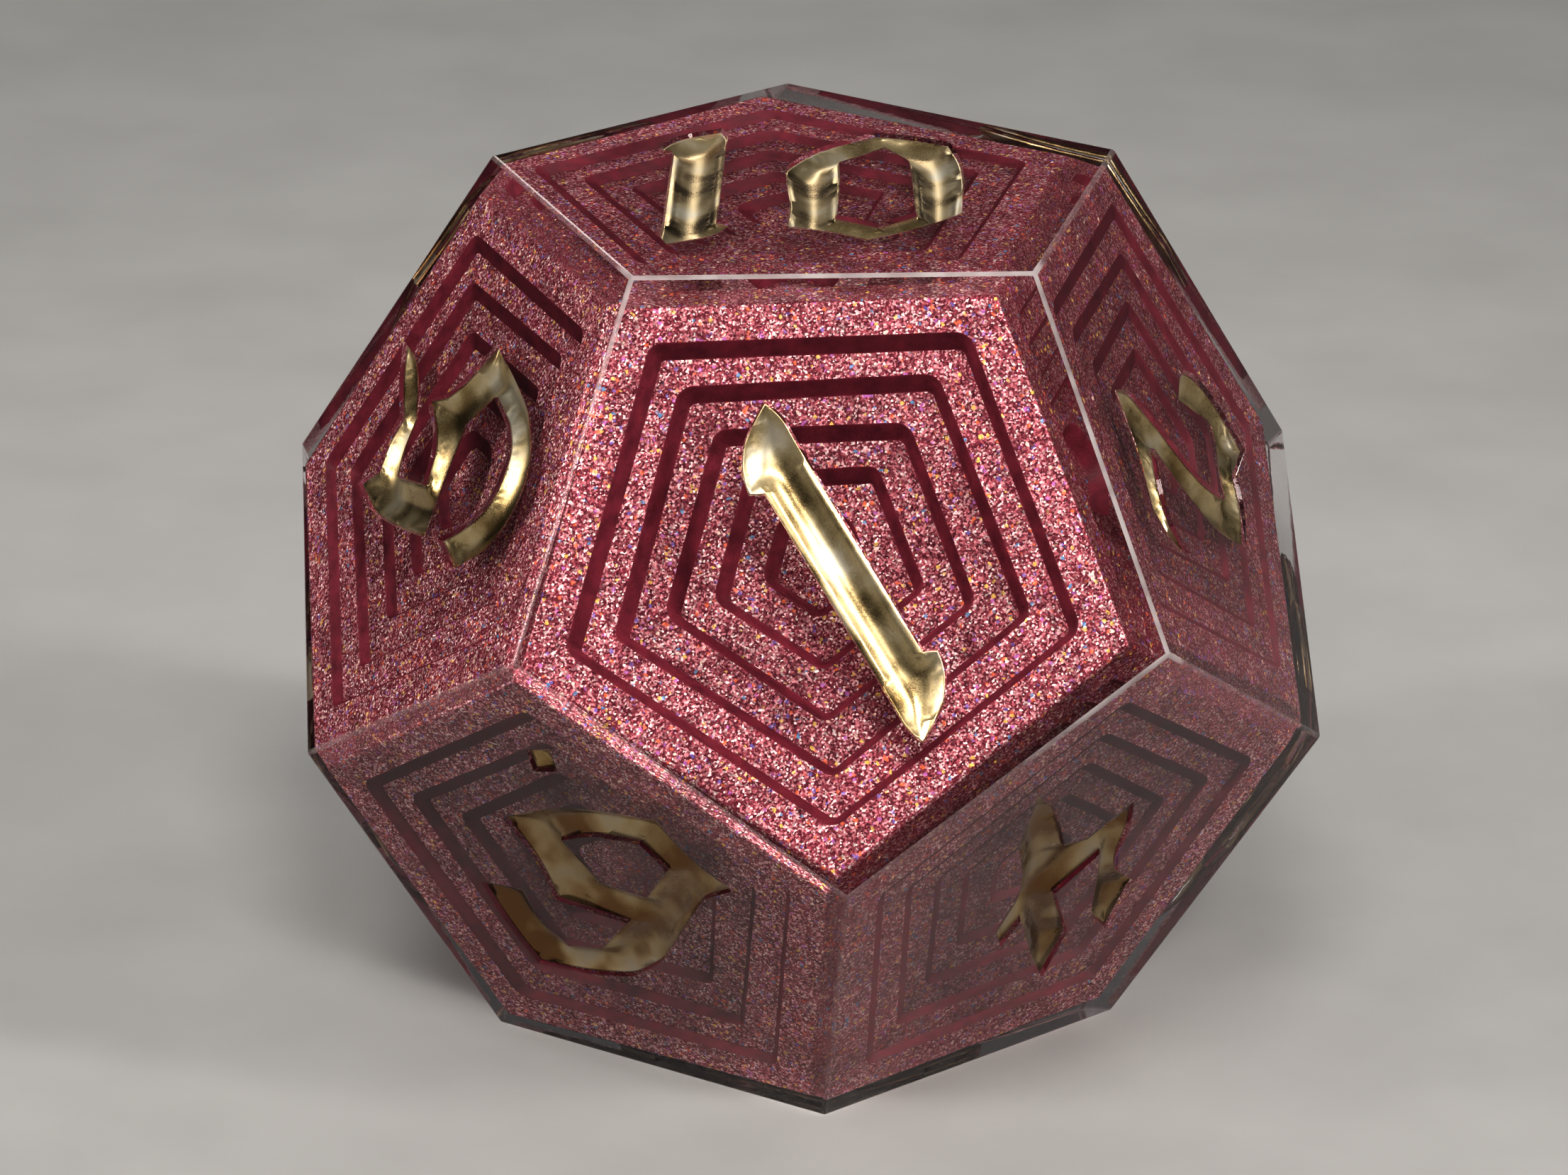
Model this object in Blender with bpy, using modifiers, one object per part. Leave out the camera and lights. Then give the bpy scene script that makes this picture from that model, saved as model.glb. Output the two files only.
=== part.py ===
"""Handmade twelve-sided die: a clear resin dodecahedron cast in two pours round a stepped
glitter core, with a gold-lined engraved numeral in every face.

Metres, +Z up. The die rests on its face 3, whose centre is the origin. Face 10 is on top, and
face 1 looks towards -Y and upwards. Opposite faces add up to 13.
"""
import math

import bmesh
import bpy
from mathutils import Matrix, Vector

MM = 0.001

# Driving dimensions
FACE_TO_FACE = 20.0 * MM
CLEAR_MARGIN = 0.72 * MM  # clear resin between a face of the core and the die's own face
CORE_SHIFT = Vector((-0.34, 0.28, -0.22)) * MM  # the core was set a little off centre
CORE_TURN = 1.4  # and turned by this many degrees about the way that face 1 looks
PIT_STEPS = 5  # nested pentagonal steps sunk into each face of the core
PIT_STEP_DEPTH = 0.42 * MM
PIT_WALL_RUN = 0.25 * MM  # how far a step's wall leans in from its top to its foot
GROOVE_DEPTH = 0.42 * MM
GROOVE_FOOT = 0.12 * MM  # bevel between a groove's wall and its floor
PAINT_RECESS = 0.1 * MM  # the paint's surface lies this far below the face
FIT_GAP = 0.04 * MM  # between materials that are bonded on the real die
CUTTER_PROUD = 0.4 * MM  # how far a groove's cutter stands out of the face

# Proportions of a dodecahedron
GOLDEN = (1 + math.sqrt(5)) / 2
FACE_RADIUS_SHARE = 2 / GOLDEN**2  # a face's circumradius over the inradius
MIDDLE_RING_SHARE = 1 / GOLDEN**3  # height of the two middle rings over the inradius
RING_TILT = math.degrees(math.atan(0.5))  # how far the ring faces look up or down
PENTAGON_APOTHEM = math.cos(math.pi / 5)  # a pentagon's inradius over its circumradius

INRADIUS = FACE_TO_FACE / 2
CORE_INRADIUS = INRADIUS - CLEAR_MARGIN
CENTRE = Vector((0, 0, INRADIUS))
FACE_1_LOOKS = Vector((0, -2, 1)).normalized()

# Numeral outlines in millimetres, upright about the numeral's own centre. A point is a sharp
# corner unless it says SOFT, where the outline runs through it as a smooth curve.
SOFT = "soft"
HALF_ONE = [(0.9, 4.1), (1.02, 3.55), (0.93, 2.95), (0.37, -2.42), (0.67, -2.6), (0.52, -3.1), (0.05, -3.65)]
SIX = [
    (0.1, 4.2), (1.1, 3.6, SOFT), (2.3, 2.6), (1.4, 1.8), (0.6, 2.55, SOFT), (-0.2, 2.75), (-0.85, 1.95),
    (-0.95, 0.3), (0.65, 1.3), (1.6, 0.3, SOFT), (2.75, -0.4), (1.75, -2.3, SOFT), (-0.1, -4.2),
    (-1.1, -3.75, SOFT), (-2.4, -3.6), (-2.0, -2.6), (-2.15, 0.8), (-1.85, 2.1), (-1.0, 3.2, SOFT),
]
GLYPHS = {
    "0": [
        [
            (1.75, 3.75), (2.55, 3.5, SOFT), (3.45, 3.0), (3.6, 1.5, SOFT), (3.25, -2.1), (2.3, -3.0, SOFT),
            (0.95, -3.85), (0.1, -3.25, SOFT), (-0.8, -2.9), (-0.6, -1.2), (-0.55, 1.3), (0.3, 2.6, SOFT),
        ],
        [
            (1.9, 2.65), (0.75, 1.6), (0.65, 0.0), (0.4, -2.1), (1.3, -2.75), (2.2, -2.0), (2.4, 1.7),
        ],
    ],
    "1": [HALF_ONE + [(-x, -y) for x, y in HALF_ONE]],
    "2": [
        [
            (0.3, 4.2), (0.85, 2.9), (1.6, 2.65, SOFT), (2.55, 1.75), (2.05, 0.2, SOFT), (0.6, -1.6, SOFT),
            (-0.1, -2.3), (0.9, -2.75, SOFT), (1.7, -2.85), (2.45, -2.3), (2.1, -3.2, SOFT), (1.25, -3.85),
            (-0.2, -3.5, SOFT), (-1.6, -3.6), (-1.55, -2.6), (-0.6, -1.35, SOFT), (0.75, 0.3, SOFT),
            (1.3, 1.5), (0.6, 1.75), (-0.4, 2.3, SOFT), (-0.75, 1.6, SOFT), (-1.15, 0.6), (-1.8, 1.7, SOFT),
            (-1.2, 3.1, SOFT),
        ]
    ],
    "3": [
        [
            (-2.2, 2.3), (-1.45, 3.85), (-0.4, 3.3, SOFT), (0.7, 3.35, SOFT), (1.95, 4.1), (1.75, 2.7, SOFT),
            (0.75, 0.85), (1.65, 0.25, SOFT), (2.65, -0.8), (1.9, -2.4, SOFT), (0.1, -4.15), (-1.5, -3.75, SOFT),
            (-2.55, -2.1), (-1.9, -0.85), (-1.35, -2.0, SOFT), (-0.4, -2.75, SOFT), (0.6, -2.5, SOFT),
            (1.45, -1.35), (0.75, -0.3, SOFT), (-0.75, -0.35), (-0.1, 0.7, SOFT), (0.65, 2.25), (-0.6, 2.2, SOFT),
        ]
    ],
    "4": [
        [
            (-0.7, 3.65), (-0.45, 2.5), (-1.0, 0.9, SOFT), (-1.25, 0.05), (0.1, 0.3), (0.2, 2.4), (1.2, 3.6),
            (1.25, 2.6), (1.1, 0.35), (1.8, 0.85), (1.75, 0.05), (0.95, -0.7), (0.6, -1.6), (0.45, -2.9),
            (-0.45, -4.4), (-0.72, -3.3), (-0.55, -1.5), (-1.1, -1.0), (-2.45, -1.05), (-2.2, -0.2),
            (-1.5, 1.2, SOFT), (-1.75, 2.4),
        ]
    ],
    "5": [
        [
            (-0.8, 4.05), (-0.45, 3.3), (0.2, 3.25, SOFT), (0.85, 2.9), (1.6, 3.45, SOFT), (2.7, 3.95),
            (2.2, 2.95, SOFT), (0.85, 2.05), (0.0, 2.2, SOFT), (-0.55, 2.1), (-0.65, 0.75), (0.3, 0.85, SOFT),
            (1.35, 1.85), (1.5, 0.9, SOFT), (2.75, -0.75), (1.9, -2.3, SOFT), (1.2, -3.35), (-0.1, -4.15, SOFT),
            (-1.7, -3.6, SOFT), (-2.55, -2.0), (-1.9, -0.85), (-1.45, -1.95, SOFT), (-0.7, -2.75, SOFT),
            (0.45, -2.8, SOFT), (1.5, -1.45), (0.85, -0.5), (-0.5, -0.25), (-1.9, -0.15), (-1.75, 1.3),
            (-1.5, 2.75),
        ]
    ],
    "6": [SIX, [(0.05, -0.5), (1.35, -1.1), (0.85, -2.05), (-0.1, -2.95), (-0.95, -2.65), (-0.95, -1.1)]],
    "7": [
        [
            (-2.35, 2.2), (-1.6, 3.8), (-0.4, 3.3, SOFT), (0.8, 3.35, SOFT), (2.35, 4.0), (1.5, 2.2, SOFT),
            (0.8, -0.6, SOFT), (0.6, -2.9), (-0.45, -4.2), (-0.75, -3.2), (-0.35, -0.6, SOFT), (0.85, 2.25),
            (-0.5, 2.2, SOFT), (-1.6, 2.5, SOFT),
        ]
    ],
    "8": [
        [
            (0.3, 4.2), (1.3, 3.5, SOFT), (2.2, 2.6), (1.95, 1.2, SOFT), (1.05, 0.45), (1.9, -0.1, SOFT),
            (2.6, -0.95), (2.3, -2.4, SOFT), (0.1, -4.2), (-1.2, -3.5, SOFT), (-2.4, -2.9), (-2.45, -1.2),
            (-1.5, -0.3, SOFT), (-1.15, 0.25), (-2.05, 1.1), (-1.9, 2.6), (-0.8, 3.3, SOFT),
        ],
        [(0.35, 2.95), (1.05, 2.1), (0.35, 1.1), (-0.85, 1.6), (-0.8, 2.3)],
        [(-0.1, -0.5), (1.4, -1.3), (1.15, -2.2), (0.05, -2.95), (-1.25, -2.2), (-1.25, -1.35)],
    ],
    "dot": [[(0.0, 0.58), (0.42, 0.0), (0.0, -0.58), (-0.42, 0.0)]],
}
GLYPHS["9"] = [[(-x, -y, *soft) for x, y, *soft in loop] for loop in GLYPHS["6"]]

# Every face: azimuth from -Y towards +X, elevation, the direction in which the numeral's top
# points (counter-clockwise from level right, seen from outside), and the numeral's pieces as
# (node, glyph, across, up, width share), with the offsets in millimetres.
UP, DOWN = RING_TILT, -RING_TILT
FACES = [
    (0, 90, 90, [("numeral_10_tens", "1", -2.69, 0.1, 1), ("numeral_10_units", "0", 0, 0, 1)]),
    (0, UP, 126, [("numeral_1", "1", -0.18, -0.4, 1)]),
    (72, UP, -18, [("numeral_2", "2", 0, 0, 1)]),
    (144, UP, 126, [("numeral_7", "7", 0, 0, 1)]),
    (216, UP, 54, [("numeral_9", "9", 0, 0, 1), ("numeral_9_dot", "dot", 2.5, -3.5, 1)]),
    (288, UP, 198, [("numeral_5", "5", 0, 0, 1)]),
    (36, DOWN, 306, [("numeral_4", "4", 0, 0, 1)]),
    (108, DOWN, 162, [("numeral_8", "8", 0, 0, 1)]),
    (180, DOWN, 234, [("numeral_12_tens", "1", -2.45, 0, 1), ("numeral_12_units", "2", 1.3, 0, 0.85)]),
    (252, DOWN, 18, [("numeral_11_tens", "1", -1.4, 0, 1), ("numeral_11_units", "1", 1.4, 0, 1)]),
    (324, DOWN, 234, [("numeral_6", "6", 0, 0, 1), ("numeral_6_dot", "dot", 2.75, -3.5, 1)]),
    (0, -90, 90, [("numeral_3", "3", 0, 0, 1)]),
]


def clear_scene():
    for obj in list(bpy.data.objects):
        bpy.data.objects.remove(obj)


def new_collection(name):
    collection = bpy.data.collections.new(name)
    bpy.context.scene.collection.children.link(collection)
    return collection


def material(name, colour, roughness, metallic=0.0, transmission=0.0):
    mat = bpy.data.materials.new(name)
    mat.use_nodes = True
    shader = mat.node_tree.nodes["Principled BSDF"]
    shader.inputs["Base Color"].default_value = (*colour, 1)
    shader.inputs["Roughness"].default_value = roughness
    shader.inputs["Metallic"].default_value = metallic
    shader.inputs["Transmission Weight"].default_value = transmission
    mat.diffuse_color = (*colour, 1)
    return mat


def new_object(name, mesh, collection, mat=None):
    obj = bpy.data.objects.new(name, mesh)
    collection.objects.link(obj)
    if mat:
        mesh.materials.append(mat)
    return obj


def hide_cutter(obj):
    obj.hide_render = True
    obj.display_type = "WIRE"


def dodecahedron(inradius):
    """A bmesh of the solid about its centre, resting on a face, with a face ring and a
    middle ring of corners for each of its two halves."""
    face_radius = FACE_RADIUS_SHARE * inradius
    bm = bmesh.new()
    for half, first_angle in ((1, -54), (-1, -18)):
        for radius, height in ((face_radius, inradius), (GOLDEN * face_radius, MIDDLE_RING_SHARE * inradius)):
            for corner in range(5):
                angle = math.radians(first_angle + 72 * corner)
                bm.verts.new((radius * math.cos(angle), radius * math.sin(angle), half * height))
    bmesh.ops.convex_hull(bm, input=bm.verts)
    bmesh.ops.dissolve_limit(bm, angle_limit=math.radians(1), verts=bm.verts, edges=bm.edges)
    return bm


def face_matrix(azimuth, elevation, centre, distance):
    """Stands at a face's centre: X level to the right seen from outside, Z straight out."""
    a, e = math.radians(azimuth), math.radians(elevation)
    out = Vector((math.sin(a) * math.cos(e), -math.cos(a) * math.cos(e), math.sin(e)))
    right = Vector((math.cos(a), math.sin(a), 0))
    turn = Matrix((right, out.cross(right), out)).transposed().to_4x4()
    return Matrix.Translation(centre + out * distance) @ turn


def pit_mesh(name, shrink):
    """A stair profile for a Screw modifier, which turns it into a stepped pentagonal pyramid."""
    rim = FACE_RADIUS_SHARE * CORE_INRADIUS
    half_run = PIT_WALL_RUN / 2
    profile = []
    for step in range(1, PIT_STEPS + 1):
        middle = rim * (1 - step / (PIT_STEPS + 1)) - shrink / PENTAGON_APOTHEM
        lean = half_run / PENTAGON_APOTHEM
        top = (1 - step) * PIT_STEP_DEPTH
        profile += [(middle + lean, top), (middle - lean, top - PIT_STEP_DEPTH)]
    first = profile[0][0] + 2 * half_run / PENTAGON_APOTHEM
    profile[0] = (first, PIT_STEP_DEPTH)  # the same slope carried on out of the core's face
    profile = [(0, PIT_STEP_DEPTH)] + profile + [(0, -PIT_STEPS * PIT_STEP_DEPTH)]
    mesh = bpy.data.meshes.new(name)
    points = [(x, 0, z) for x, z in profile]
    mesh.from_pydata(points, [(i, i + 1) for i in range(len(points) - 1)], [])
    return mesh


def stepped_core(name, collection, grow=0.0):
    """The core's dodecahedron with a stepped pit in each face. With grow it is the hollow
    that the core leaves in the clear resin."""
    inradius = CORE_INRADIUS + grow
    turned = Matrix.Rotation(math.radians(CORE_TURN), 4, FACE_1_LOOKS)
    seat = Matrix.Translation(CENTRE + CORE_SHIFT) @ turned
    bm = dodecahedron(inradius)
    bm.transform(seat)
    mesh = bpy.data.meshes.new(name)
    bm.to_mesh(mesh)
    bm.free()
    core = new_object(name, mesh, collection)
    pits = new_collection(name + "_pits")
    stair = pit_mesh(name + "_stair", grow)
    for number, (azimuth, elevation, _, _) in enumerate(FACES):
        pit = new_object(f"{name}_pit_{number}", stair, pits)
        corner_up = -90 if elevation == UP else 90
        turn = Matrix.Rotation(math.radians(corner_up), 4, "Z")
        pit.matrix_world = seat @ face_matrix(azimuth, elevation, Vector(), inradius) @ turn
        screw = pit.modifiers.new("turn", "SCREW")
        screw.steps = screw.render_steps = 5
        screw.use_merge_vertices = True
        screw.merge_threshold = 1e-6
        screw.use_smooth_shade = False
        hide_cutter(pit)
    cut = core.modifiers.new("pits", "BOOLEAN")
    cut.operand_type = "COLLECTION"
    cut.collection = pits
    return core


def glyph_mesh(name, glyph, width_share, inset, bottom, top):
    """A numeral's outline drawn up from bottom to top, with its foot bevelled all round."""
    curve = bpy.data.curves.new(name, "CURVE")
    curve.dimensions = "2D"
    curve.fill_mode = "BOTH"
    for loop in GLYPHS[glyph]:
        spline = curve.splines.new("BEZIER")
        spline.bezier_points.add(len(loop) - 1)
        spline.use_cyclic_u = True
        spline.resolution_u = 3
        for point, (x, y, *soft) in zip(spline.bezier_points, loop):
            point.co = (x * MM * width_share, y * MM, 0)
            kind = "AUTO" if soft else "VECTOR"
            point.handle_left_type = point.handle_right_type = kind
    height = 2 * (top - bottom)  # twice too tall, then trimmed, so that only the foot is bevelled
    curve.bevel_depth = GROOVE_FOOT
    curve.bevel_resolution = 0
    curve.extrude = height / 2 - GROOVE_FOOT
    curve.offset = -GROOVE_FOOT - inset
    drawn = bpy.data.objects.new(name, curve)
    bpy.context.scene.collection.objects.link(drawn)
    bpy.context.view_layer.update()
    mesh = bpy.data.meshes.new_from_object(drawn.evaluated_get(bpy.context.evaluated_depsgraph_get()))
    bpy.data.objects.remove(drawn)
    mesh.name = name
    mesh.materials.clear()
    bm = bmesh.new()
    bm.from_mesh(mesh)
    bmesh.ops.remove_doubles(bm, verts=bm.verts, dist=1e-6)
    bm.transform(Matrix.Translation((0, 0, bottom + height / 2)))
    everything = bm.verts[:] + bm.edges[:] + bm.faces[:]
    bmesh.ops.bisect_plane(
        bm, geom=everything, plane_co=(0, 0, top), plane_no=(0, 0, 1), clear_outer=True
    )
    rim = [edge for edge in bm.edges if edge.is_boundary]
    bmesh.ops.triangle_fill(bm, edges=rim, use_beauty=True)
    bmesh.ops.recalc_face_normals(bm, faces=bm.faces)
    bm.to_mesh(mesh)
    bm.free()
    return mesh


def numeral_matrix(azimuth, elevation, upward, across, up):
    turn = Matrix.Rotation(math.radians(upward - 90), 4, "Z")
    move = Matrix.Translation((across * MM, up * MM, 0))
    return face_matrix(azimuth, elevation, CENTRE, INRADIUS) @ turn @ move


def clear_pour(name, half, cutters, collection, mat):
    """The upper (half 1) or lower (half -1) half of the clear casting, hollowed for the core
    and engraved with the numerals."""
    bm = dodecahedron(INRADIUS)
    bm.transform(Matrix.Translation(CENTRE))
    seam = CENTRE + Vector((0, 0, half * FIT_GAP / 2))
    everything = bm.verts[:] + bm.edges[:] + bm.faces[:]
    bmesh.ops.bisect_plane(
        bm, geom=everything, plane_co=seam, plane_no=(0, 0, half), clear_inner=True
    )
    bmesh.ops.contextual_create(bm, geom=[edge for edge in bm.edges if edge.is_boundary])
    bmesh.ops.recalc_face_normals(bm, faces=bm.faces)
    mesh = bpy.data.meshes.new(name)
    bm.to_mesh(mesh)
    bm.free()
    pour = new_object(name, mesh, collection, mat)
    cut = pour.modifiers.new("hollow_and_numerals", "BOOLEAN")
    cut.operand_type = "COLLECTION"
    cut.collection = cutters
    return pour


def main():
    clear_scene()
    die = new_collection("polyhedral_die")
    cutters = new_collection("cutters")

    clear = material("clear_resin", (0.95, 0.93, 0.93), 0.05, transmission=1.0)
    glitter = material("glitter_resin", (0.55, 0.16, 0.24), 0.4, metallic=0.3)
    gold = material("gold_paint", (0.80, 0.66, 0.36), 0.25, metallic=1.0)

    core = stepped_core("glitter_core", die)
    core.data.materials.append(glitter)

    hollow = stepped_core("core_hollow", cutters, grow=FIT_GAP)
    hide_cutter(hollow)

    for azimuth, elevation, upward, pieces in FACES:
        for node, glyph, across, up, width_share in pieces:
            place = numeral_matrix(azimuth, elevation, upward, across, up)
            groove = glyph_mesh(node + "_groove", glyph, width_share, 0, -GROOVE_DEPTH, CUTTER_PROUD)
            cutter = new_object(node + "_groove", groove, cutters)
            cutter.matrix_world = place
            hide_cutter(cutter)
            paint = glyph_mesh(node, glyph, width_share, FIT_GAP, FIT_GAP - GROOVE_DEPTH, -PAINT_RECESS)
            new_object(node, paint, die, gold).matrix_world = place

    clear_pour("clear_lower_pour", -1, cutters, die, clear)
    clear_pour("clear_upper_pour", 1, cutters, die, clear)


main()
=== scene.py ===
"""The looks of a handmade twelve-sided die: a clear resin casting with sanded edges, round a
stepped core full of mica and glitter, with champagne-gold paint lining the engraved numerals.

Lengths written as numbers are millimetres unless a comment says otherwise. The scene, and what
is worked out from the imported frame, is in metres.
"""
import math
import random

import bmesh
import bpy
import numpy as np
from mathutils import Matrix, Vector, geometry


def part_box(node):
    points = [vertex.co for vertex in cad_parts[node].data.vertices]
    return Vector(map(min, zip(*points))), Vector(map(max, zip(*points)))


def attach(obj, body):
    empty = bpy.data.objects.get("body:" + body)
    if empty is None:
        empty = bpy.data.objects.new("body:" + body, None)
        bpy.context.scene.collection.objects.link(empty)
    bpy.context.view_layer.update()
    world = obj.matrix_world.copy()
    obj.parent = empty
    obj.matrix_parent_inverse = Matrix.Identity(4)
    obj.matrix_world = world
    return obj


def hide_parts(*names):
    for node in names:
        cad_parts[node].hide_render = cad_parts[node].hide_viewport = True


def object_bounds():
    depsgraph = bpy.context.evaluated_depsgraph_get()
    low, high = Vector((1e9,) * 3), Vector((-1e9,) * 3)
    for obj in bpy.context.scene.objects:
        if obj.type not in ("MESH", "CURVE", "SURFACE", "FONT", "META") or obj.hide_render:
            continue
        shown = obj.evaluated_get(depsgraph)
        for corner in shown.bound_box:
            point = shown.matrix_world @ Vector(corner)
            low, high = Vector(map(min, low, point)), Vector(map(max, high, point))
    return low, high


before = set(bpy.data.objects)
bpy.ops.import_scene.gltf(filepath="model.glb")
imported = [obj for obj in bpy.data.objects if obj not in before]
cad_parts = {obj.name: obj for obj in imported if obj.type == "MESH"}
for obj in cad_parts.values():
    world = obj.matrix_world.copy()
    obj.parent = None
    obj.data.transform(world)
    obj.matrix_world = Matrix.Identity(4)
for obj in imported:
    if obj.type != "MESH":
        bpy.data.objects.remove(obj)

MM = 0.001
CAD_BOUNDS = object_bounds()

# The die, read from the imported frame
LOW, HIGH = (Vector(corner) for corner in CAD_BOUNDS)
INRADIUS = (HIGH.z - LOW.z) / 2
CENTRE = Vector((0, 0, LOW.z + INRADIUS))
CORE_CORNERS = [vert.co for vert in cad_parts["glitter_core"].data.vertices]
CORE_LOW, CORE_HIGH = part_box("glitter_core")
CORE_CENTRE = (CORE_LOW + CORE_HIGH) / 2
FACE_1_LOOKS = Vector((0, -2, 1)).normalized()
CORE_INRADIUS = max((corner - CORE_CENTRE).dot(FACE_1_LOOKS) for corner in CORE_CORNERS)
CORE_TURN = 1.4  # degrees about the way that face 1 looks

# Proportions of a dodecahedron
GOLDEN = (1 + math.sqrt(5)) / 2
FACE_RADIUS_SHARE = 2 / GOLDEN**2  # a face's circumradius over the inradius
MIDDLE_RING_SHARE = 1 / GOLDEN**3  # height of the two middle rings over the inradius
RING_TILT = math.degrees(math.atan(0.5))  # how far the ring faces look up or down
PENTAGON_APOTHEM = math.cos(math.pi / 5)  # a pentagon's inradius over its circumradius
FACES = [(0, 90), (0, -90)]
FACES += [(72 * k, RING_TILT) for k in range(5)]
FACES += [(72 * k + 36, -RING_TILT) for k in range(5)]

# Tolerances
FACE_TOLERANCE = 0.3  # from the middle of a face to where it is looked for
TOP_TOLERANCE = 0.01  # below the highest point of a paint solid, and still its flat top
EDGE_TOLERANCE = 0.001  # from the paint's edge, and still on it
MESHING_TOLERANCE = 1e-5
MERGE_DISTANCE = 1e-7  # metres; points closer than this become one

# The clear casting and its grooves
CASTING_EDGE = 0.08  # width of the rounding that sanding leaves on the casting's edges
EDGE_SEGMENTS = 3  # strips across each rounded edge, here and on the core
SANDED = 1  # the casting's second material slot
RIM_GAP = 0.04  # from the groove's rim to the edge of the paint
PAINT_EDGE_DEPTH = 0.1  # the paint starts this far below the face
PAINT_SAG = 0.27  # and hangs this much lower along the middle of a stroke
TROUGH_RUN = 0.5  # distance from the paint's edge at which the trough is at its deepest
TROUGH_SLOPE = 0.6  # share of the sag that is a straight slope; the rest rounds off
BED_DEPTH = 0.02  # the groove's floor lies this far under the paint's surface
PAINT_THICKNESS = 0.06
MESH_STEP = 0.075  # spacing of the points in a groove
RING_STEPS = (0.03, 0.07, 0.12)  # extra rings of points just inside the paint's edge
RING_SPACING = 0.05  # closest that two points of such a ring may lie
RING_SHARE = 0.93  # a ring's point goes if an edge is nearer than this share of the ring's step
RING_CLEARANCE = 0.03  # from the last ring to the even points
SMOOTHING_ROUNDS = 4
ROW_SHARE = 0.87  # spacing of the rows over the spacing along a row
SHARP_TURN = math.radians(35)  # a turn in an outline above this is a corner
BEND_ROUNDS = 3
CUT_SHARE = 0.25  # a gentle bend is cut this far along to the next point
ROUND_CUT = 0.14  # but no further than this
MITRE_LIMIT = 0.3  # keeps an offset outline from shooting out at its sharpest points

# The stepped core
CORE_EDGE = 0.07  # width of the rounding on the core's edges
PIT_STEPS = 5
PIT_STEP_DEPTH = 0.42
PIT_WALL_RUN = 0.19
# painted shade: the skew widens the dark walls at the top and left of every pit, standing in for the
# shadow there
SHADED_WALL_SKEW = Vector((0.07, -0.10))  # how far each wall's foot is pushed right and down
STEP_ROUNDING = 0.04
STEP_WANDER = 0.03  # how far a step may be larger or smaller than an even one
STEP_TWIST = 1.0  # and how many degrees it may be turned
SHARPEST_CORNER = 0.02  # the least and the greatest radius of a step's corners
SOFTEST_CORNER, SOFTEST_FLOOR_CORNER = 0.18, 0.5
CORNER_GROWTH = 0.06  # keeps the corner radii of a step's innermost ring above zero
SEED = 5  # of the steps' unevenness
ARC_STEPS = 6
# painted shade: the inner treads take a darker glitter slot, for the shadow deep in each pit
TREAD, WALL, SHADED_INNER_TREAD, PIT_FLOOR = range(4)  # the core's material slots
FIRST_SHADED_STEP = 3  # the treads are darker from this step inwards
FLAKE, FLOOR_FLAKE, TINTED_FLAKE = 0.042, 0.034, 0.075

# The camera, the floor and the light
VIEW_AZIMUTH, VIEW_ELEVATION, VIEW_ROLL = -4.563, 22.051, 0.864
DIE_RADIUS = INRADIUS * math.hypot(1, FACE_RADIUS_SHARE)
VIEW_DISTANCE = 12.856 * DIE_RADIUS
VIEW_RIGHT, VIEW_UP = -0.0401 * DIE_RADIUS, 0.0020 * DIE_RADIUS
SENSOR, LENS = 36.0, 158.15
FLOOR_HALF_WIDTH = 0.6  # metres
FLOOR_GAP = 0.05 * MM
LAMP_DISTANCE = 0.4  # metres
SKY_LEVELS = (0.42, 0.12), (0.8, 1.0)  # the sine of the elevation, and how bright it is there
SKY_STRENGTH = 0.3
CONTRAST = 0.88  # below 1 deepens the shadows
LAMP_SPREAD = 36  # degrees; narrow, so that the lamps light the die and a pool of floor
WARM, WARMER = (1.0, 0.97, 0.93), (1.0, 0.95, 0.90)  # the lamps' colours


# ---------------------------------------------------------------- geometry helpers

def face_matrix(azimuth, elevation, centre, distance):
    """Stands at a face's centre: X level to the right seen from outside, Z straight out."""
    a, e = math.radians(azimuth), math.radians(elevation)
    out = Vector((math.sin(a) * math.cos(e), -math.cos(a) * math.cos(e), math.sin(e)))
    right = Vector((math.cos(a), math.sin(a), 0))
    turn = Matrix((right, out.cross(right), out)).transposed().to_4x4()
    return Matrix.Translation(centre + out * distance) @ turn


def dodecahedron(inradius, centre, edge):
    """A bmesh of the solid with rounded edges, as it lies on one of its faces."""
    face_radius = FACE_RADIUS_SHARE * inradius
    bm = bmesh.new()
    for half, first_angle in ((1, -54), (-1, -18)):
        rings = (face_radius, inradius), (GOLDEN * face_radius, MIDDLE_RING_SHARE * inradius)
        for radius, height in rings:
            for corner in range(5):
                angle = math.radians(first_angle + 72 * corner)
                bm.verts.new((radius * math.cos(angle), radius * math.sin(angle), half * height))
    bmesh.ops.convex_hull(bm, input=bm.verts)
    bmesh.ops.dissolve_limit(bm, angle_limit=math.radians(1), verts=bm.verts, edges=bm.edges)
    bmesh.ops.bevel(
        bm, geom=bm.edges[:], offset=edge, offset_type="OFFSET", segments=EDGE_SEGMENTS,
        profile=0.5, affect="EDGES",
    )
    bm.transform(Matrix.Translation(centre))
    return bm


def take_face(bm, place):
    """Removes the big face that lies at a place, and gives back its corners in the place's
    own plane, in millimetres."""
    inverse = place.inverted()
    for face in bm.faces:
        middle = inverse @ face.calc_center_median()
        if middle.length < FACE_TOLERANCE * MM and len(face.verts) == 5:
            corners = [inverse @ vert.co for vert in face.verts]
            bm.faces.remove(face)
            return [Vector((c.x, c.y)) / MM for c in corners]


def distance_to_loops(points, loops):
    """Distance from each 2-D point to the nearest edge of some closed loops."""
    best = np.full(len(points), np.inf)
    for loop in loops:
        starts = np.array(loop, float)
        spans = np.roll(starts, -1, 0) - starts
        lengths = (spans**2).sum(1)
        for start, span, length in zip(starts, spans, lengths):
            along = np.clip(((points - start) @ span) / length, 0, 1)
            best = np.minimum(best, np.linalg.norm(points - start - along[:, None] * span, axis=1))
    return best


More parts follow.
